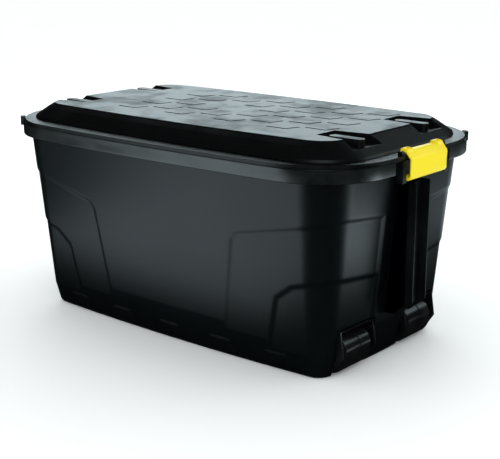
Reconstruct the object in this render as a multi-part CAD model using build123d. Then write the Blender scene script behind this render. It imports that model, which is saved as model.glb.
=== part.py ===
from build123d import *
import os
from math import atan2, degrees, hypot, radians, tan

# A wheeled storage trunk: moulded tub, lift-off lid, two clip handles, two wheels at one end.
# Millimetres. Origin: centre of the footprint on the ground. +X: towards the wheels. +Z: up.

# tub
tub_half_x = 402          # wall outline where the side wall meets the bottom chamfer
tub_half_y = 228
tub_corner = 60
side_bow = 14             # how far the middle of a long side stands out
end_bow = 5
chamfer_z = 80
wall_draft = 5.0          # degrees, wall leans outward going up
chamfer_draft = 14.0      # degrees, bottom chamfer
edge_z = 6                # rounded-off bottom edge
edge_in = 6
wall = 3.0
panel_step = 2.5          # each stepped panel sits this much deeper

# rim band round the top of the tub
rim_half_x = 465
rim_half_y = 282
rim_corner = 165
rim_side_bow = 19
rim_end_bow = 8
rim_low = 392
rim_top = 419
rim_skin = 3.0

# lid
lip_half_x = 466.5
lip_half_y = 284
lip_corner = 168
corner_reach = 0.228      # a bowed corner stands in from its sharp corner by this much of its radius
lip_top = 426
lid_skin = 3.0
dome_levels = [           # z, half x, half y, corner radius
    (lip_top, 438, 252, 112),
    (431, 434, 248, 108),
    (449, 404, 223, 74),
    (458, 388, 207, 54),
]
skirt_low = 409           # locating skirt that drops inside the tub
skirt_half_x = 424
skirt_half_y = 250
skirt_corner = 86
skirt_skin = 2.5
tab_out = 2.6             # centre of a corner tab stands this far outside the lip, each way
pocket_floor = 442        # pockets in the lid's end platforms
pocket_boss_top = 455

# chevron grooves on the lid
groove_width = 6.5
groove_deep = 1.6
groove_pitch_x = 136
groove_pitch_y = 36
groove_legs = [(-45, 0), (9, 29)]
groove_rows = 8
groove_columns = 4
groove_first = (-174, -128)
blank_half_x = 105        # plain oval in the middle of the pattern
blank_half_y = 42

# clip handle, drawn for the wheel end
handle_half = 65
lobe_y = 52
lobe_half = 10
pivot_x = 462
pivot_z = 383
pivot_r = 3.0
pivot_fit = 0.08
barrel_r = 5.5
lug_in = 66.5
lug_out = 88
slot_out = 95

# wheels
wheel_r = 42
wheel_x = 362
wheel_y = 110
wheel_half = 48
hub_half = 51.5
axle_r = 5.0
axle_fit = 0.08
pocket_half = 56
pocket_z = 97
pocket_in = 306
bracket_skin = 4


def outline(half_x, half_y, corner, z, bow_y=side_bow, bow_x=end_bow):
    """Rounded rectangle with slightly bowed sides, at height z."""
    x = half_x - bow_x
    y = half_y - bow_y
    with BuildSketch(Plane.XY.offset(z)) as sketch:
        with BuildLine():
            ThreePointArc((-x, -y), (0, -half_y), (x, -y))
            ThreePointArc((x, -y), (half_x, 0), (x, y))
            ThreePointArc((x, y), (0, half_y), (-x, y))
            ThreePointArc((-x, y), (-half_x, 0), (-x, -y))
        make_face()
        fillet(sketch.vertices(), corner)
    return sketch.sketch


def stack(sections):
    """Ruled solid through a list of outlines."""
    return loft(sections, ruled=True)


def grown(z, grow):
    """Tub outline moved out by grow, at height z."""
    return outline(tub_half_x + grow, tub_half_y + grow, tub_corner + grow, z)


def wall_grow(z):
    """How far the drafted side wall stands outside its chamfer line at height z."""
    return (z - chamfer_z) * tan(radians(wall_draft))


def chamfer_grow(z):
    """How far the bottom chamfer stands outside its top line at height z."""
    return (z - chamfer_z) * tan(radians(chamfer_draft))


def frustum(low, high, inset):
    """Solid inside the drafted side wall between two heights."""
    return stack([grown(z, wall_grow(z) - inset) for z in (low, high)])


def box(x0, x1, y0, y1, z0, z1):
    """Box between two corners."""
    return Pos((x0 + x1) / 2, (y0 + y1) / 2, (z0 + z1) / 2) * Box(x1 - x0, y1 - y0, z1 - z0)


def prism(plane, points, depth):
    """Polygon on a plane, extruded both ways."""
    return extrude(plane * make_face(Polyline(*points, close=True)), depth, both=True)


def both_sides(shapes):
    """Shapes and their mirror copies across the long axis."""
    return shapes + [mirror(shape, Plane.XZ) for shape in shapes]


def both_ends(shapes):
    """Shapes and their mirror copies at the other end."""
    return shapes + [mirror(shape, Plane.YZ) for shape in shapes]


# stepped panels at the corners: what they cover seen from the side, and seen from the end
far_x = 520
far_y = 330
panel_sides = [
    [(152, 50), (164, 119), (186, 260), (202, 276), (392, 316), (far_x, 343), (far_x, 50)],
    [(260, 50), (267, 80), (284, 158), (302, 182), (380, 203), (far_x, 240), (far_x, 50)],
]
panel_ends = [
    [(57, 50), (57, 307), (172, 320), (far_y, 352), (far_y, 50)],
    [(57, 50), (57, 190), (172, 203), (far_y, 250), (far_y, 50)],
]


def panel_cut(level, inset):
    """Material taken off one corner so that its panel sits one or two steps deeper."""
    side = prism(Plane.XZ, panel_sides[level], far_y)
    end = prism(Plane.YZ, panel_ends[level], far_x)
    corner = box(100, far_x, 40, far_y, 40, 360) & side & end
    return corner - frustum(20, rim_low, inset + panel_step * (level + 1))


def tub_form(floor, inset, top):
    """Closed form of the tub with its stepped panels, set in by a wall thickness."""
    low = grown(floor, chamfer_grow(0) - inset - edge_in)
    edge = grown(floor + edge_z, chamfer_grow(edge_z) - inset)
    middle = grown(chamfer_z, -inset)
    form = stack([low, edge, middle, grown(top, wall_grow(top) - inset)])
    for level in range(len(panel_sides)):
        form -= both_ends(both_sides([panel_cut(level, inset)]))
    return form


def pocket(extra):
    """Wheel pocket at the front corner, larger by extra on its closed sides."""
    side = pocket_half + extra
    body = box(pocket_in - extra, 440, -wheel_y - side, -wheel_y + side, -1, pocket_z + extra)
    return fillet(body.edges().filter_by(Axis.Y).group_by(Axis.Z)[-1].sort_by(Axis.X)[0], 30)


def foot_pad(x):
    """Trapezoid pad standing proud of the bottom chamfer, front side."""
    shape = prism(Plane.XZ, [(x - 35, 8), (x + 35, 8), (x + 26, 38), (x - 26, 38)], far_y)
    skin = stack([grown(z, chamfer_grow(z) + panel_step) for z in (5, 45)])
    return shape & skin & box(-400, 400, -far_y, -150, 0, 60)


def end_post():
    """Two tall ribs and the web between them, under the handle."""
    shape = prism(Plane.XZ, [(400, 97), (430, 97), (466, 128), (466, 367), (400, 367)], 25)
    front = prism(Plane.XZ, [(452, 80), (480, 80), (480, 380), (452, 380)], 22)
    foot = prism(Plane.XZ, [(380, 90), (421, 90), (446, 118), (446, 364), (380, 364)], 22)
    return shape - front - foot


def make_rim():
    """Rim band, flange and handle lugs, without the wall."""
    def ring(inset):
        return outline(rim_half_x - inset, rim_half_y - inset, rim_corner - inset, rim_low,
                       rim_side_bow, rim_end_bow)
    rim = extrude(ring(0), rim_top - rim_low) - extrude(ring(rim_skin), rim_top - rim_low - rim_skin)
    gap = box(452, 480, -slot_out, slot_out, rim_low - 5, rim_top - rim_skin)
    rim -= both_ends([gap])
    lug = box(440, 469.5, -lug_out, -lug_in, pivot_z - 9, rim_top - 1)
    lug -= box(440, 466, -lug_out + 3, -lug_in - 9, pivot_z - 18, rim_top - 4)
    lug -= Pos(pivot_x, -lug_in, pivot_z) * Rot(90, 0, 0) * Cylinder(pivot_r + pivot_fit, 20)
    return rim + both_ends(both_sides([lug]))


def make_tub():
    """Tub moulding: walls, rim, wheel pockets, foot pads and end posts."""
    form = tub_form(0, 0, rim_top)
    tub = form + make_rim() + both_ends([end_post()])
    tub += both_sides([foot_pad(x) for x in (-280, -140, 0, 140, 280)])
    tub -= tub_form(wall, wall, rim_top + 2)
    tub += [form & shape for shape in both_sides([pocket(wall)])]
    tub -= both_sides([pocket(0)])
    return tub - box(385, 440, -pocket_half, pocket_half, -1, 6)


def dome(inset, drop, low):
    """Lid dome, set in and lowered by the skin thickness, running down to height low."""
    sections = [outline(x - inset, y - inset, corner - inset, z - drop)
                for z, x, y, corner in dome_levels]
    z, x, y, corner = dome_levels[0]
    sections[0] = outline(x - inset, y - inset, corner - inset, low)
    return stack(sections)


def lid_pocket(extra):
    """Pocket in an end platform, open through the end slope, front corner."""
    points = [(317 - extra, -142 - extra), (317 - extra, -83 + extra), (460, -60 + extra),
              (460, -162 - extra)]
    plan = Pos(0, 0, pocket_floor - extra) * make_face(Polyline(*points, close=True))
    return extrude(plan, 40)


def lid_boss():
    """Long oval boss standing in a lid pocket."""
    return Pos(366, -112, pocket_floor - 1) * extrude(SlotOverall(76, 20),
                                                      pocket_boss_top - pocket_floor + 1)


def chevron(x, y):
    """One chevron groove with its tip at x, y: two rounded legs."""
    floor = dome_levels[-1][0] - groove_deep
    legs = []
    for dx, dy in groove_legs:
        length = hypot(dx, dy)
        turn = degrees(atan2(dy, dx))
        leg = SlotOverall(length + groove_width, groove_width)
        legs.append(Pos(x + dx / 2, y + dy / 2, floor) * Rot(0, 0, turn) * extrude(leg, 5))
    return legs[0] + legs[1]


def chevrons():
    """Staggered rows of chevrons with a plain oval in the middle."""
    marks = []
    for row in range(groove_rows):
        for column in range(groove_columns):
            x = groove_first[0] + groove_pitch_x * column + groove_pitch_x / 2 * (row % 2)
            y = groove_first[1] + groove_pitch_y * row
            if (x / blank_half_x) ** 2 + (y / blank_half_y) ** 2 > 1:
                marks.append(chevron(x, y))
    return marks


def lid_catch():
    """Round barrels on the lip beside the handle."""
    barrel = Pos(459.5, -72, lip_top + 2.5) * Rot(90, 0, 0) * Cylinder(5.5, 9)
    return both_sides([barrel])


def corner_tab():
    """Small tab that hangs over the rim at a corner, with a tongue into the lip."""
    reach = lip_corner * corner_reach - tab_out
    x = lip_half_x - rim_end_bow - reach
    y = lip_half_y - rim_side_bow - reach
    tab = Box(9, 17, 19) + Pos(10, 0, 5.5) * Box(20, 17, 5)
    return Pos(-x, -y, 417.5) * Rot(0, 0, 45) * tab


def make_lid():
    """Lid moulding: lip, dome, end pockets, chevrons, catches and locating skirt."""
    def lip(inset, low, high):
        face = outline(lip_half_x - inset, lip_half_y - inset, lip_corner - inset, low,
                       rim_side_bow, rim_end_bow)
        return extrude(face, high - low)
    lid = lip(0, rim_top, lip_top) + dome(0, 0, rim_top + 2)
    lid -= both_ends(both_sides([lid_pocket(0)]))
    lid += both_ends(both_sides([lid_boss()]))
    lid -= chevrons()
    lid += both_ends(lid_catch())
    lid += [corner_tab(), Rot(0, 0, 180) * corner_tab()]
    hollow = dome(lid_skin, lid_skin, rim_top - 1)
    hollow -= both_ends(both_sides([lid_pocket(lid_skin)]))
    lid -= hollow
    skirt = extrude(outline(skirt_half_x, skirt_half_y, skirt_corner, skirt_low), 38)
    skirt -= extrude(outline(skirt_half_x - skirt_skin, skirt_half_y - skirt_skin,
                             skirt_corner - skirt_skin, skirt_low), 38)
    cap = dome(1, 1, skirt_low) - both_ends(both_sides([lid_pocket(1)]))
    return lid + (skirt & cap)


def make_handle():
    """Clip handle at the wheel end: barrel, curved plate, hook and two raised lobes on top."""
    y = handle_half
    with BuildSketch(Plane.XZ) as profile:
        with BuildLine():
            Polyline((pivot_x, 378), (471, 379.5), (477, 387))
            ThreePointArc((477, 387), (478.5, 407), (476, 427))
            ThreePointArc((476, 427), (473, 435), (466, 437))
            Polyline((466, 437), (457, 437), (457, 430), (460.5, 430), (460.5, 433.5))
            Polyline((460.5, 433.5), (467, 433), (471.5, 425))
            ThreePointArc((471.5, 425), (473.5, 406), (472, 389))
            Polyline((472, 389), (468, 384), (pivot_x, pivot_z), (pivot_x, 378))
        make_face()
    handle = extrude(profile.sketch, y, both=True)
    shoulder = lobe_y + lobe_half
    handle -= both_sides([box(455, 468, -y - 1, -shoulder, 420, 450)])
    handle += Pos(pivot_x, 0, pivot_z) * Rot(90, 0, 0) * Cylinder(barrel_r, 2 * y)
    for side in (-lobe_y, lobe_y):
        lobe = box(457, 473, side - lobe_half, side + lobe_half, 435, 441.5)
        handle += fillet(lobe.edges().filter_by(Axis.Y).group_by(Axis.Z)[-1], 3.5)
        handle -= box(461.5, 467.5, side - lobe_half + 3, side + lobe_half - 3, 436, 450)
    return handle + Pos(pivot_x, 0, pivot_z) * Rot(90, 0, 0) * Cylinder(pivot_r, 2 * y + 16)


def make_wheel():
    """Wide wheel with a grooved tread, recessed sides and a bored hub, axis along Y."""
    bore = axle_r + axle_fit
    half = [(bore, 0), (wheel_r - 1.5, 0), (wheel_r - 1.5, 6), (wheel_r, 8), (wheel_r, wheel_half - 8),
            (wheel_r - 5, wheel_half), (wheel_r - 9, wheel_half), (wheel_r - 12, 24), (14, 24),
            (12, hub_half), (bore, hub_half)]
    profile = make_face(Polyline(*half, close=True))
    body = revolve(profile, Axis.Y)
    return body + mirror(body, Plane.XZ)


def make_bracket():
    """Snap-in bracket: top plate and two cheeks that hold the axle, about the wheel centre."""
    top = box(-28, 34, -pocket_half, pocket_half, 47, 51)
    side = [(-30, 51), (-45, 30), (-30, -22), (24, -30), (44, 0), (36, 51)]
    cheek = prism(Plane.XZ, side, bracket_skin / 2)
    cheeks = both_sides([Pos(0, -pocket_half + bracket_skin / 2, 0) * cheek])
    bracket = top + cheeks
    return bracket - Rot(90, 0, 0) * Cylinder(axle_r + axle_fit / 2, 200)


def make_axle():
    """Plain steel pin, captive between the pocket walls."""
    pin = Rot(90, 0, 0) * Cylinder(axle_r, 2 * pocket_half - 1)
    return chamfer(pin.edges(), 0.8)


os.makedirs("parts", exist_ok=True)
nodes = {"tub": make_tub(), "lid": make_lid()}
handle = make_handle()
nodes["clip_handle_wheel_end"] = handle
nodes["clip_handle_far_end"] = mirror(handle, Plane.YZ)
for name, side in (("front", -1), ("rear", 1)):
    place = Pos(wheel_x, side * wheel_y, wheel_r)
    nodes["wheel_" + name] = place * make_wheel()
    nodes["wheel_bracket_" + name] = place * make_bracket()
    nodes["wheel_axle_" + name] = place * make_axle()
for name, shape in nodes.items():
    export_step(Compound(shape.solids()) if len(shape.solids()) > 1 else shape.solids()[0],
                "parts/" + name + ".step")
    print(name, round(shape.volume / 1000, 1), "cm3")
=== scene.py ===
import math
import bmesh
import bpy
import numpy as np
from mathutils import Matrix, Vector


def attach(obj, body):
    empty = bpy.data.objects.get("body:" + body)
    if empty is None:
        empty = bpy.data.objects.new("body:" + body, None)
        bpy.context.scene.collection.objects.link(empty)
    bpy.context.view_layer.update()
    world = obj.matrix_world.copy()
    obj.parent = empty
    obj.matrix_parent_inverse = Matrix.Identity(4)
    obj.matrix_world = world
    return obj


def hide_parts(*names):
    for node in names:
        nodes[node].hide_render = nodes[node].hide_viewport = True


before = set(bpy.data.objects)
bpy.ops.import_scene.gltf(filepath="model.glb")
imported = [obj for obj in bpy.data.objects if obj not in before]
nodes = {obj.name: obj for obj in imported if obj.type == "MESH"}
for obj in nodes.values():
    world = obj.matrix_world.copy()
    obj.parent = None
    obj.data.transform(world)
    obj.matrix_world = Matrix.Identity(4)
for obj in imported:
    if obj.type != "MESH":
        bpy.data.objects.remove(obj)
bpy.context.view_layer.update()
print("stage 1: frame loaded,", len(nodes), "nodes")


class Wire:
    # one output socket; arithmetic on it adds Math nodes
    def __init__(self, paint, socket):
        self.paint = paint
        self.socket = socket

    def calc(self, operation, first, second):
        return self.paint.node("ShaderNodeMath", {"operation": operation}, {0: first, 1: second})

    def __add__(self, other):
        return self.calc("ADD", self, other)

    def __radd__(self, other):
        return self.calc("ADD", other, self)

    def __sub__(self, other):
        return self.calc("SUBTRACT", self, other)

    def __rsub__(self, other):
        return self.calc("SUBTRACT", other, self)

    def __mul__(self, other):
        return self.calc("MULTIPLY", self, other)

    def __rmul__(self, other):
        return self.calc("MULTIPLY", other, self)

    def __gt__(self, other):
        return self.calc("GREATER_THAN", self, other)


class Paint:
    # one material and its nodes
    def __init__(self, name):
        self.material = bpy.data.materials.new(name)
        self.material.use_nodes = True
        self.tree = self.material.node_tree
        self.tree.nodes.clear()

    def feed(self, socket, value):
        if isinstance(value, Wire):
            self.tree.links.new(value.socket, socket)
        else:
            socket.default_value = value

    def node(self, kind, settings, inputs, out=0):
        made = self.tree.nodes.new(kind)
        for key, value in settings.items():
            if key == "stops":
                setStops(made.color_ramp, value)
            else:
                setattr(made, key, value)
        for key, value in inputs.items():
            self.feed(made.inputs[key], value)
        return Wire(self, made.outputs[out])

    def mixColor(self, factor, first, second):
        return self.node("ShaderNodeMix", {"data_type": "RGBA"}, {0: factor, 6: first, 7: second}, 2)

    def fade(self, value, ends):
        # black below the first value, white above the second
        stops = [(ends[0], grey(0)), (ends[1], grey(1))]
        return self.node("ShaderNodeValToRGB", {"stops": stops}, {0: value})

    def noise(self, place, scale, detail=3.0, roughness=0.5):
        return self.node("ShaderNodeTexNoise", {}, {"Vector": place, "Scale": scale, "Detail": detail,
                                                    "Roughness": roughness})

    def finish(self, inputs):
        surface = self.node("ShaderNodeBsdfPrincipled", {}, inputs)
        target = self.tree.nodes.new("ShaderNodeOutputMaterial")
        self.tree.links.new(surface.socket, target.inputs["Surface"])
        return self.material


def setStops(ramp, stops):
    while len(ramp.elements) > 1:
        ramp.elements.remove(ramp.elements[-1])
    ramp.elements[0].position = stops[0][0]
    ramp.elements[0].color = stops[0][1]
    for position, color in stops[1:]:
        ramp.elements.new(position).color = color


def grey(level):
    return (level, level, level, 1)


blackPlastic = {
    "deep": (0.0004, 0.0020, 0.0030, 1),
    "light": (0.0008, 0.0036, 0.0050, 1),
    "scuff": (0.010, 0.013, 0.014, 1),
    "roughness": 0.38,
    "grainScale": 900,
    "grainDepth": 0.00012,
    "specular": 0.5,
}
lidPlastic = {
    "deep": (0.0010, 0.0022, 0.0024, 1),
    "light": (0.0026, 0.0040, 0.0043, 1),
    "scuff": (0.018, 0.020, 0.021, 1),
    "roughness": 0.40,
    "grainScale": 700,
    "grainDepth": 0.0002,
    "specular": 0.6,
    # heights of the groove floors, where shade is painted darker
    "groove": (0.4558, 0.4572),
}
# painted highlight: the rim band is the tub's own black plastic, painted lighter than the walls
rimPlasticPaintedLighter = {
    "deep": (0.0022, 0.0042, 0.0048, 1),
    "light": (0.0040, 0.0066, 0.0074, 1),
    "scuff": (0.016, 0.019, 0.020, 1),
    "roughness": 0.30,
    "grainScale": 900,
    "grainDepth": 0.0001,
    "specular": 0.9,
}
yellowPlastic = {
    "deep": (0.80, 0.62, 0.004, 1),
    "light": (0.90, 0.74, 0.008, 1),
    "scuff": (0.80, 0.62, 0.12, 1),
    "roughness": 0.34,
    "grainScale": 1200,
    "grainDepth": 0.00006,
    "specular": 0.5,
}
wheelPlastic = {
    "deep": (0.0018, 0.0020, 0.0022, 1),
    "light": (0.0040, 0.0042, 0.0045, 1),
    "scuff": (0.02, 0.02, 0.02, 1),
    "roughness": 0.2,
    "grainScale": 600,
    "grainDepth": 0.0001,
    "specular": 0.5,
}


surface = {
    "cloudScale": 3.2, "flowScale": 14.0, "speckScale": 160.0, "speckHeight": 0.3,
    "edge": (0.5, 0.56), "wear": (0.46, 0.62), "wearAmount": 0.35,
    "smoother": 0.05, "cloudRough": 0.06, "flowRough": 0.04, "wearRough": 0.3, "grooveRough": 0.5,
    "bumpStrength": 0.35,
}


def mouldedPlastic(name, look):
    paint = Paint(name)
    place = paint.node("ShaderNodeTexCoord", {}, {}, "Object")
    cloud = paint.noise(place, surface["cloudScale"], 4.0)
    flow = paint.noise(place, surface["flowScale"], 5.0, 0.6)
    specks = paint.noise(place, surface["speckScale"], 2.0)
    grain = paint.noise(place, look["grainScale"], 2.0, 0.6)
    pointiness = paint.node("ShaderNodeNewGeometry", {}, {}, "Pointiness")
    edge = paint.fade(pointiness, surface["edge"])
    wear = edge * paint.fade(flow, surface["wear"]) * surface["wearAmount"]
    base = paint.mixColor(cloud, look["deep"], look["light"])
    color = paint.mixColor(wear, base, look["scuff"])
    roughness = look["roughness"] - surface["smoother"] + cloud * surface["cloudRough"]
    roughness = roughness + flow * surface["flowRough"] + wear * surface["wearRough"]
    if "groove" in look:
        # painted shade: the floors of the grooves are painted darker, and made duller
        low, high = look["groove"]
        height = paint.node("ShaderNodeSeparateXYZ", {}, {"Vector": place}, "Z")
        grooveShadeMask = (height > low) * (1 - (height > high))
        color = paint.mixColor(grooveShadeMask, color, look["deep"])
        roughness = roughness + grooveShadeMask * surface["grooveRough"]
    bump = paint.node("ShaderNodeBump", {}, {
        "Strength": surface["bumpStrength"], "Distance": look["grainDepth"],
        "Height": grain + specks * surface["speckHeight"]})
    return paint.finish({"Base Color": color, "Roughness": roughness, "Normal": bump,
                         "Specular IOR Level": look["specular"]})


steelLook = {"scale": 300.0, "dark": 0.42, "bright": 0.6, "roughness": 0.25, "roughVary": 0.15}


def axleSteel():
    paint = Paint("axle steel")
    place = paint.node("ShaderNodeTexCoord", {}, {}, "Object")
    fine = paint.noise(place, steelLook["scale"], 4.0)
    color = paint.mixColor(fine, grey(steelLook["dark"]), grey(steelLook["bright"]))
    roughness = steelLook["roughness"] + fine * steelLook["roughVary"]
    return paint.finish({"Base Color": color, "Metallic": 1.0, "Roughness": roughness})


def dress(piece, material):
    piece.data.materials.clear()
    piece.data.materials.append(material)


tubBlack = mouldedPlastic("tub black", blackPlastic)
lidBlack = mouldedPlastic("lid black", lidPlastic)
clipYellow = mouldedPlastic("clip yellow", yellowPlastic)
wheelBlack = mouldedPlastic("wheel black", wheelPlastic)
steel = axleSteel()
finishes = {"tub": tubBlack, "lid": lidBlack, "clip_handle": clipYellow, "wheel_axle": steel,
            "wheel": wheelBlack}
softEdges = {"lid": 0.0022, "wheel_bracket": 0.0015}  # bevel width by start of name
sharpAngle = 24


def roundEdges(piece, width):
    # rounds the sharp edges of a plain node
    change = piece.modifiers.new("soft edges", "BEVEL")
    change.width = width
    change.segments = 3
    change.limit_method = "ANGLE"
    change.angle_limit = math.radians(sharpAngle)


for name, piece in nodes.items():
    start = next(key for key in finishes if name.startswith(key))
    dress(piece, finishes[start])
    for key, width in softEdges.items():
        if name.startswith(key):
            roundEdges(piece, width)
print("stage 2: materials made")


tubShape = {
    "halfX": 0.402, "halfY": 0.228, "corner": 0.047, "bowX": 0.005, "bowY": 0.014,
    "chamferZ": 0.080, "wallSlope": 0.0875, "chamferSlope": 0.2493,
    "edge": 0.008, "edgeFullness": 0.8, "skin": 0.003, "top": 0.419,
    "step": 0.0027, "bandWidth": 0.011, "smooth": 32,
}
rimShape = {
    "halfX": 0.465, "halfY": 0.282, "corner": 0.128, "bowX": 0.008, "bowY": 0.019,
    "skin": 0.003, "gap": 0.095, "smooth": 50,
    "section": [(0.0, 0.4172), (0.0, 0.3945), (0.0006, 0.3928), (0.0015, 0.392), (0.0024, 0.3928),
                (0.003, 0.3945), (0.003, 0.4165)],
}
outlineCuts = {"long": 200, "end": 104, "corner": 22}  # points on each stretch

# corner panels: half planes (point x or y, point z, slope) that bound each step
panelSteps = [
    {"leg": (0.164, 0.119, 0.156), "bend": (0.186, 0.260, 1.0), "band": (0.202, 0.276, 0.2105),
     "endBand": (0.057, 0.307, 0.113)},
    {"leg": (0.267, 0.080, 0.218), "bend": (0.284, 0.158, 0.75), "band": (0.302, 0.182, 0.269),
     "endBand": (0.057, 0.190, 0.113)},
]
panelInner = 0.057


def outline(halfX, halfY, corner, bowX, bowY):
    # bowed rounded rectangle, counter clockwise from the front left
    a = halfX - bowX
    b = halfY - bowY
    along = np.linspace(-1, 1, outlineCuts["long"], endpoint=False) * (a - corner)
    across = np.linspace(-1, 1, outlineCuts["end"], endpoint=False) * (b - corner)
    turn = np.linspace(0, math.pi / 2, outlineCuts["corner"], endpoint=False)
    longOnes = np.ones_like(along)
    endOnes = np.ones_like(across)
    sides = [
        (along, -b * longOnes),
        (a - corner + corner * np.sin(turn), -(b - corner) - corner * np.cos(turn)),
        (a * endOnes, across),
        (a - corner + corner * np.cos(turn), b - corner + corner * np.sin(turn)),
    ]
    x = np.concatenate([part[0] for part in sides])
    y = np.concatenate([part[1] for part in sides])
    x, y = np.concatenate([x, -x]), np.concatenate([y, -y])
    shiftedY = y + np.sign(y) * bowY * (1 - (x / a) ** 2)
    shiftedX = x + np.sign(x) * bowX * (1 - (y / b) ** 2)
    return np.stack([shiftedX, shiftedY], 1)


def tubOutline(grow):
    return outline(tubShape["halfX"] + grow, tubShape["halfY"] + grow, tubShape["corner"] + grow,
                   tubShape["bowX"], tubShape["bowY"])


def rimOutline(inset):
    return outline(rimShape["halfX"] - inset, rimShape["halfY"] - inset, rimShape["corner"] - inset,
                   rimShape["bowX"], rimShape["bowY"])


def softStep(value):
    value = np.clip(value, 0, 1)
    return value * value * (3 - 2 * value)


def panelDepth(x, y, z):
    # how far the wall is set in at a point of its outside
    x = np.abs(x)
    y = np.abs(y)
    depth = np.zeros_like(x)
    for step in panelSteps:
        px, pz, slope = step["leg"]
        inside = x - (px + (z - pz) * slope)
        px, pz, slope = step["bend"]
        inside = np.minimum(inside, (pz + (x - px) * slope - z) / math.hypot(1, slope))
        px, pz, slope = step["band"]
        inside = np.minimum(inside, pz + (x - px) * slope - z)
        py, pz, slope = step["endBand"]
        inside = np.minimum(inside, pz + (y - py) * slope - z)
        inside = np.minimum(inside, y - panelInner)
        depth += tubShape["step"] * softStep(inside / tubShape["bandWidth"])
    return depth


padShape = {"places": (-0.28, -0.14, 0, 0.14, 0.28), "low": 0.008, "high": 0.038, "foot": 0.035,
            "head": 0.026, "proud": 0.0022, "soft": 0.0025, "innerY": 0.15}


def padRise(x, y, z):
    # foot pads standing out of the long bottom edges
    rise = np.zeros_like(x)
    height = (z - padShape["low"]) / (padShape["high"] - padShape["low"])
    half = padShape["foot"] + (padShape["head"] - padShape["foot"]) * height
    for place in padShape["places"]:
        inside = np.minimum(half - np.abs(x - place), np.minimum(z - padShape["low"],
                                                                 padShape["high"] - z))
        inside = np.where(np.abs(y) > padShape["innerY"], inside, -1)
        rise = np.maximum(rise, padShape["proud"] * softStep(inside / padShape["soft"] + 0.5))
    return rise


def wallRow(z, skin):
    # one level of the wall, outside (skin 0) or inside
    shape = tubShape
    wall = (z - shape["chamferZ"]) * shape["wallSlope"]
    chamfer = (z - shape["chamferZ"]) * shape["chamferSlope"]
    base = tubOutline(wall)
    level = np.full(len(base), z)
    depth = panelDepth(base[:, 0], base[:, 1], level)
    inset = depth
    if z < shape["chamferZ"]:
        inset = np.maximum(depth, wall - chamfer)
    if z < shape["edge"]:
        sag = 1 - math.sqrt(max(0, 1 - (1 - z / shape["edge"]) ** 2))
        inset = inset + shape["edge"] * sag * shape["edgeFullness"]
    if skin == 0:
        inset = inset - padRise(base[:, 0], base[:, 1], level)
    inset = inset + skin
    return np.column_stack([base - outwards(base) * inset[:, None], level])


def outwards(points):
    # unit normals of a closed outline
    along = np.roll(points, -1, 0) - np.roll(points, 1, 0)
    normal = np.stack([along[:, 1], -along[:, 0]], 1)
    return normal / np.linalg.norm(normal, axis=1)[:, None]


def flatRow(points, z):
    return np.column_stack([points, np.full(len(points), z)])


def makePiece(name, points, faces, material):
    mesh = bpy.data.meshes.new(name)
    mesh.from_pydata([tuple(p) for p in points], [], faces)
    mesh.validate()
    piece = bpy.data.objects.new(name, mesh)
    bpy.context.scene.collection.objects.link(piece)
    dress(piece, material)
    joinTub(piece)
    return piece


def joinTub(piece):
    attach(piece, "tub")
    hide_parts("tub")


def sweepRows(rows):
    # points and faces of a closed skin through rows of equal length, capped at both ends
    count = len(rows[0])
    points = np.concatenate(rows)
    faces = []
    for level in range(len(rows) - 1):
        low = level * count
        for i in range(count):
            j = (i + 1) % count
            faces.append((low + i, low + j, low + count + j, low + count + i))
    faces.append(tuple(reversed(range(count))))
    faces.append(tuple(range(len(points) - count, len(points))))
    return points, faces


# heights of the shell's rows: a stretch is from, to, how many
rowPlan = {
    "foot": (0, 0.0008, 0.002, 0.004, 0.006),
    "outside": [(0.008, 0.080, 30), (0.0835, 0.338, 74), (0.35, 0.415, 8)],
    "underFlange": 0.416,
    "flangeEdge": [(0.0002, 0.416), (0, 0.4165), (0, 0.4178), (0.0004, 0.4186), (0.0013, 0.419)],
    "mouthRound": 0.0015,
    "inside": [(0.40, 0.34, 4), (0.33, 0.09, 50), (0.08, 0.008, 8)],
    "floorZ": 0.008, "floorInset": 0.004,
}


def makeTubShell():
    plan = rowPlan
    skin = tubShape["skin"]
    outside = [np.linspace(*stretch) for stretch in plan["outside"]]
    inside = [np.linspace(*stretch) for stretch in plan["inside"]]
    rows = [wallRow(z, 0) for z in np.concatenate([plan["foot"]] + outside)]
    rows.append(flatRow(rimOutline(rimShape["skin"]), plan["underFlange"]))
    for inset, z in plan["flangeEdge"]:
        rows.append(flatRow(rimOutline(inset), z))
    wallTop = (tubShape["top"] - tubShape["chamferZ"]) * tubShape["wallSlope"]
    rows.append(flatRow(tubOutline(wallTop - skin + plan["mouthRound"]), tubShape["top"]))
    rows.append(flatRow(tubOutline(wallTop - skin), tubShape["top"] - plan["mouthRound"]))
    for z in np.concatenate(inside):
        rows.append(wallRow(z, skin))
    inner = wallRow(plan["floorZ"], skin + plan["floorInset"])
    inner[:, 2] = skin
    rows.append(inner)
    return sweepRows(rows)


def applyBoolean(piece, cutter, operation):
    change = piece.modifiers.new("cut", "BOOLEAN")
    change.operation = operation
    change.solver = "EXACT"
    change.object = cutter
    bpy.context.view_layer.update()
    graph = bpy.context.evaluated_depsgraph_get()
    mesh = bpy.data.meshes.new_from_object(piece.evaluated_get(graph))
    piece.modifiers.clear()
    piece.data = mesh
    bpy.data.objects.remove(cutter)


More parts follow.
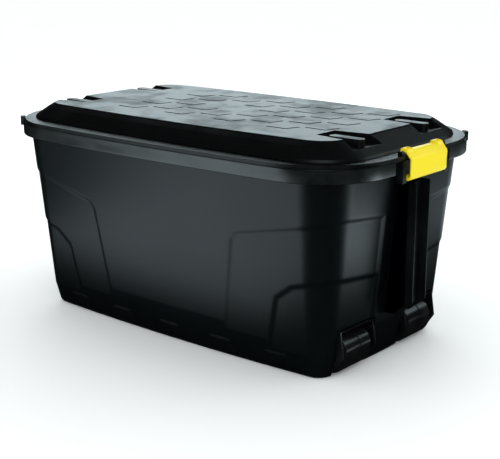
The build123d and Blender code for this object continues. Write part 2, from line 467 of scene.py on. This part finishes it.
def slab(name, outlinePoints, y0, y1, bevel=0.0):
    # polygon in X and Z, thick in Y, with rounded edges
    count = len(outlinePoints)
    points = [(x, y, z) for y in (y0, y1) for x, z in outlinePoints]
    faces = [tuple(range(count)), tuple(reversed(range(count, 2 * count)))]
    for i in range(count):
        j = (i + 1) % count
        faces.append((i, i + count, j + count, j))
    mesh = bpy.data.meshes.new(name)
    mesh.from_pydata(points, [], faces)
    shape = bmesh.new()
    shape.from_mesh(mesh)
    bmesh.ops.recalc_face_normals(shape, faces=shape.faces)
    if bevel:
        bmesh.ops.bevel(shape, geom=list(shape.edges), offset=bevel, segments=3, profile=0.5,
                        affect="EDGES", clamp_overlap=True)
    shape.to_mesh(mesh)
    shape.free()
    piece = bpy.data.objects.new(name, mesh)
    bpy.context.scene.collection.objects.link(piece)
    return piece


wheelPocket = {"y": 0.110, "half": 0.056, "inX": 0.306, "top": 0.097, "round": 0.030, "skin": 0.003,
               "liner": {"outX": 0.3975, "foot": 0.0015, "slope": 0.0195},
               "cutter": {"outX": 0.46, "foot": -0.01, "slope": 0}}


def pocketProfile(grow, outer):
    # side view of a wheel pocket with its inner top corner rounded
    left = wheelPocket["inX"] - grow
    top = wheelPocket["top"] + grow
    radius = wheelPocket["round"]
    points = [(left, outer["foot"])]
    for turn in np.linspace(math.pi, math.pi / 2, 9):
        points.append((left + radius + radius * math.cos(turn), top - radius + radius * math.sin(turn)))
    return points + [(outer["outX"], top), (outer["outX"] - outer["slope"], outer["foot"])]


def makeTub():
    points, faces = makeTubShell()
    shell = makePiece("tub_shell", points, faces, tubBlack)
    pocket = wheelPocket
    skin = pocket["skin"]
    for side in (-1, 1):
        low = side * pocket["y"] - pocket["half"]
        high = side * pocket["y"] + pocket["half"]
        liner = slab("liner", pocketProfile(skin, pocket["liner"]), low - skin, high + skin)
        applyBoolean(shell, liner, "UNION")
        cutter = slab("cutter", pocketProfile(0, pocket["cutter"]), low, high)
        applyBoolean(shell, cutter, "DIFFERENCE")
    smoothByAngle(shell, tubShape["smooth"])


def smoothByAngle(piece, degrees):
    # smooth shading that keeps the sharp edges
    mesh = piece.data
    for face in mesh.polygons:
        face.use_smooth = True
    mesh.set_sharp_from_angle(angle=math.radians(degrees))


def makeRimBand():
    # skirt of the rim, in two halves that stop beside the handles
    section = rimShape["section"]
    for name, side in (("rim_band_front", -1), ("rim_band_rear", 1)):
        rings = [rimOutline(inset) for inset, z in section]
        keep = rings[0][:, 1] * side > rimShape["gap"]
        start = int(np.argmax(keep & ~np.roll(keep, 1)))
        count = int(keep.sum())
        order = [(start + i) % len(keep) for i in range(count)]
        rows = []
        for i in order:
            across = [(ring[i][0], ring[i][1], z) for ring, (inset, z) in zip(rings, section)]
            rows.append(np.array(across))
        points, faces = sweepRows(rows)
        band = makePiece(name, points, faces, rimBlackPaintedLighter)
        smoothByAngle(band, rimShape["smooth"])


lugShape = {"x0": 0.442, "x1": 0.4695, "inner": 0.0665, "outer": 0.081, "low": 0.374, "top": 0.4165,
            "cut": 0.012, "bevel": 0.0018}
postShape = {"rib": [(0.405, 0.097), (0.430, 0.097), (0.466, 0.128), (0.466, 0.367), (0.424, 0.367)],
             "web": [(0.405, 0.099), (0.424, 0.099), (0.449, 0.121), (0.449, 0.364), (0.424, 0.364)],
             "half": 0.025, "thick": 0.003, "ribBevel": 0.0009, "webBevel": 0.0006}
fittingSmooth = 40


def makeEndFittings():
    lug = lugShape
    post = postShape
    lugSide = [(lug["x0"], lug["low"] + lug["cut"]), (lug["x0"] + lug["cut"], lug["low"]),
               (lug["x1"], lug["low"]), (lug["x1"], lug["top"]), (lug["x0"], lug["top"])]
    half = post["half"]
    for end, endName in ((1, "wheel_end"), (-1, "far_end")):
        for side in (-1, 1):
            placeSlab("handle_lug_" + endName, lugSide, end, side * lug["inner"], side * lug["outer"],
                      lug["bevel"])
            placeSlab("post_rib_" + endName, post["rib"], end, side * half,
                      side * (half - post["thick"]), post["ribBevel"])
        placeSlab("post_web_" + endName, post["web"], end, -half, half, post["webBevel"])


def placeSlab(name, shape, end, y0, y1, bevel):
    name += "_front" if y0 < 0 else "_rear"
    piece = slab(name, atEnd(shape, end), min(y0, y1), max(y0, y1), bevel)
    dress(piece, tubBlack)
    smoothByAngle(piece, fittingSmooth)
    joinTub(piece)


handleShape = {
    "half": 0.0635, "bevel": 0.0009, "pivot": (0.462, 0.383), "barrel": 0.0055, "pin": 0.003,
    "pinEnd": 0.0728, "barrelOver": 0.001, "barrelBevel": 0.0006, "pinBevel": 0.0004,
    "lobeBevel": 0.0008, "smooth": 40,
    "plate": [(0.4620, 0.3780), (0.4690, 0.3782), (0.4742, 0.3800), (0.4774, 0.3850), (0.4768, 0.4000),
              (0.4779, 0.4170), (0.4762, 0.4215), (0.4690, 0.4300), (0.4635, 0.4332), (0.4525, 0.4332),
              (0.4508, 0.4318), (0.4508, 0.4287), (0.4535, 0.4287), (0.4550, 0.4302), (0.4620, 0.4302),
              (0.4660, 0.4270), (0.4735, 0.4183), (0.4736, 0.4000), (0.4736, 0.3880), (0.4700, 0.3840),
              (0.4620, 0.3835)],
    "lobe": [(0.4508, 0.4322), (0.4506, 0.4358), (0.4525, 0.4376), (0.4620, 0.4376), (0.4660, 0.4360),
             (0.4700, 0.4300), (0.4700, 0.4285), (0.4630, 0.4322)],
    "lobeY": 0.0525, "lobeHalf": 0.0095,
    "hollow": [(0.4555, 0.4345), (0.4555, 0.4400), (0.4650, 0.4400), (0.4650, 0.4345)], "wallY": 0.0028,
}


def roundProfile(center, radius, end, count=28):
    turns = np.linspace(0, 2 * math.pi, count, endpoint=False)
    return [(end * (center[0] + radius * math.cos(turn)), center[1] + radius * math.sin(turn))
            for turn in turns]


def atEnd(points, end):
    # the same side view at the wheel end (1) or the far end (-1)
    return [(end * x, z) for x, z in points]


def makeHandle(end, body, node):
    # plate with its hook, the barrel, its pins and two hollow lobes
    shape = handleShape
    half = shape["half"]
    wide = half + shape["barrelOver"]
    pinEnd = shape["pinEnd"]
    parts = [
        slab(node + "_plate", atEnd(shape["plate"], end), -half, half, shape["bevel"]),
        slab(node + "_barrel", roundProfile(shape["pivot"], shape["barrel"], end), -wide, wide,
             shape["barrelBevel"]),
        slab(node + "_pin", roundProfile(shape["pivot"], shape["pin"], end), -pinEnd, pinEnd,
             shape["pinBevel"]),
    ]
    for side, sideName in ((-1, "_lobe_front"), (1, "_lobe_rear")):
        low = side * shape["lobeY"] - shape["lobeHalf"]
        high = side * shape["lobeY"] + shape["lobeHalf"]
        wall = shape["wallY"]
        lobe = slab(node + sideName, atEnd(shape["lobe"], end), low, high, shape["lobeBevel"])
        cutter = slab("hollow", atEnd(shape["hollow"], end), low + wall, high - wall)
        applyBoolean(lobe, cutter, "DIFFERENCE")
        parts.append(lobe)
    for part in parts:
        dress(part, clipYellow)
        smoothByAngle(part, shape["smooth"])
        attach(part, body)
        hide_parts(node)


# painted highlight: a lighter copy of the tub black for the rim band
rimBlackPaintedLighter = mouldedPlastic("rim black painted lighter", rimPlasticPaintedLighter)
makeTub()
makeRimBand()
makeEndFittings()
makeHandle(1, "wheel_end_handle", "clip_handle_wheel_end")
makeHandle(-1, "far_end_handle", "clip_handle_far_end")
print("stage 3: tub and handles made")


floorLook = {"size": 60, "cloudScale": 2.0, "low": 0.96, "high": 0.98, "roughness": 0.9}


def plainFloor():
    paint = Paint("pale floor")
    place = paint.node("ShaderNodeTexCoord", {}, {}, "Object")
    cloud = paint.noise(place, floorLook["cloudScale"])
    color = paint.mixColor(cloud, grey(floorLook["low"]), grey(floorLook["high"]))
    material = paint.finish({"Base Color": color, "Roughness": floorLook["roughness"]})
    bpy.ops.mesh.primitive_plane_add(size=floorLook["size"])
    floor = bpy.context.object
    floor.name = "floor"
    dress(floor, material)
    floor.visible_glossy = False  # a bright floor would turn the black walls grey


cameraView = {"place": (1.5257, -1.7878, 0.8254), "target": (0.0397, 0.0, 0.1986), "lens": 80.18,
              "sensor": 36}


def makeCamera():
    data = bpy.data.cameras.new("camera")
    data.lens = cameraView["lens"]
    data.sensor_width = cameraView["sensor"]
    data.sensor_fit = "HORIZONTAL"
    camera = bpy.data.objects.new("camera", data)
    bpy.context.scene.collection.objects.link(camera)
    camera.location = cameraView["place"]
    look = Vector(cameraView["target"]) - camera.location
    camera.rotation_euler = look.to_track_quat("-Z", "Y").to_euler()
    bpy.context.scene.camera = camera


lightColor = (0.80, 0.95, 1.0)
# standing panels: place, target, width, height, power
panels = {
    "lid sheen": ((-2.1, 2.6, 1.3), (0, 0, 0.45), 2.6, 1.5, 34),
    "back": ((0.8, 2.4, 2.2), (0.3, 0, 0.4), 1.2, 0.8, 2),
    "lid sheen from behind": ((2.2, -2.7, 1.7), (0, 0, 0.45), 2.2, 1.0, 14),
    "lid sheen far left": ((2.2, 2.7, 1.7), (0, 0, 0.45), 1.6, 1.0, 8),
}
# boards lying on the floor, shining up: x, y, width, height, power
boards = {
    "front board": (-0.28, -0.80, 0.9, 0.8, 3.2),
    "front left board": (-1.0, -1.7, 1.2, 0.9, 9),
    "end board": (0.92, 0.36, 0.45, 0.4, 1.8),
    "rear board": (0.1, 1.15, 1.3, 0.8, 4),
    "far end board": (-1.15, 0.45, 0.8, 0.7, 2),
}
boardZ = 0.02


def softLight(name, place, target, width, height, power):
    data = bpy.data.lights.new(name, "AREA")
    data.shape = "RECTANGLE"
    data.size = width
    data.size_y = height
    data.energy = power
    data.color = lightColor
    light = bpy.data.objects.new(name, data)
    bpy.context.scene.collection.objects.link(light)
    light.location = place
    aim = Vector(target) - light.location
    light.rotation_euler = aim.to_track_quat("-Z", "Y").to_euler()
    light.visible_camera = False


def makeLights():
    for name, panel in panels.items():
        softLight(name, *panel)
    for name, (x, y, width, height, power) in boards.items():
        softLight(name, (x, y, boardZ), (x, y, 1), width, height, power)


worldLook = {"color": (0.98, 1.0, 1.0, 1), "bright": 1.12, "inReflections": 0.008}


def makeWorld():
    # white all round, but dark in reflections so that only the panels shine
    world = bpy.data.worlds.new("studio")
    world.use_nodes = True
    tree = world.node_tree
    background = tree.nodes["Background"]
    path = tree.nodes.new("ShaderNodeLightPath")
    level = tree.nodes.new("ShaderNodeMapRange")
    level.inputs["To Min"].default_value = worldLook["bright"]
    level.inputs["To Max"].default_value = worldLook["inReflections"]
    tree.links.new(path.outputs["Is Glossy Ray"], level.inputs["Value"])
    tree.links.new(level.outputs["Result"], background.inputs["Strength"])
    background.inputs["Color"].default_value = worldLook["color"]
    bpy.context.scene.world = world
    bpy.context.scene.view_settings.view_transform = "Standard"


plainFloor()
makeCamera()
makeWorld()
makeLights()
print("stage 4: stage, camera and lights")
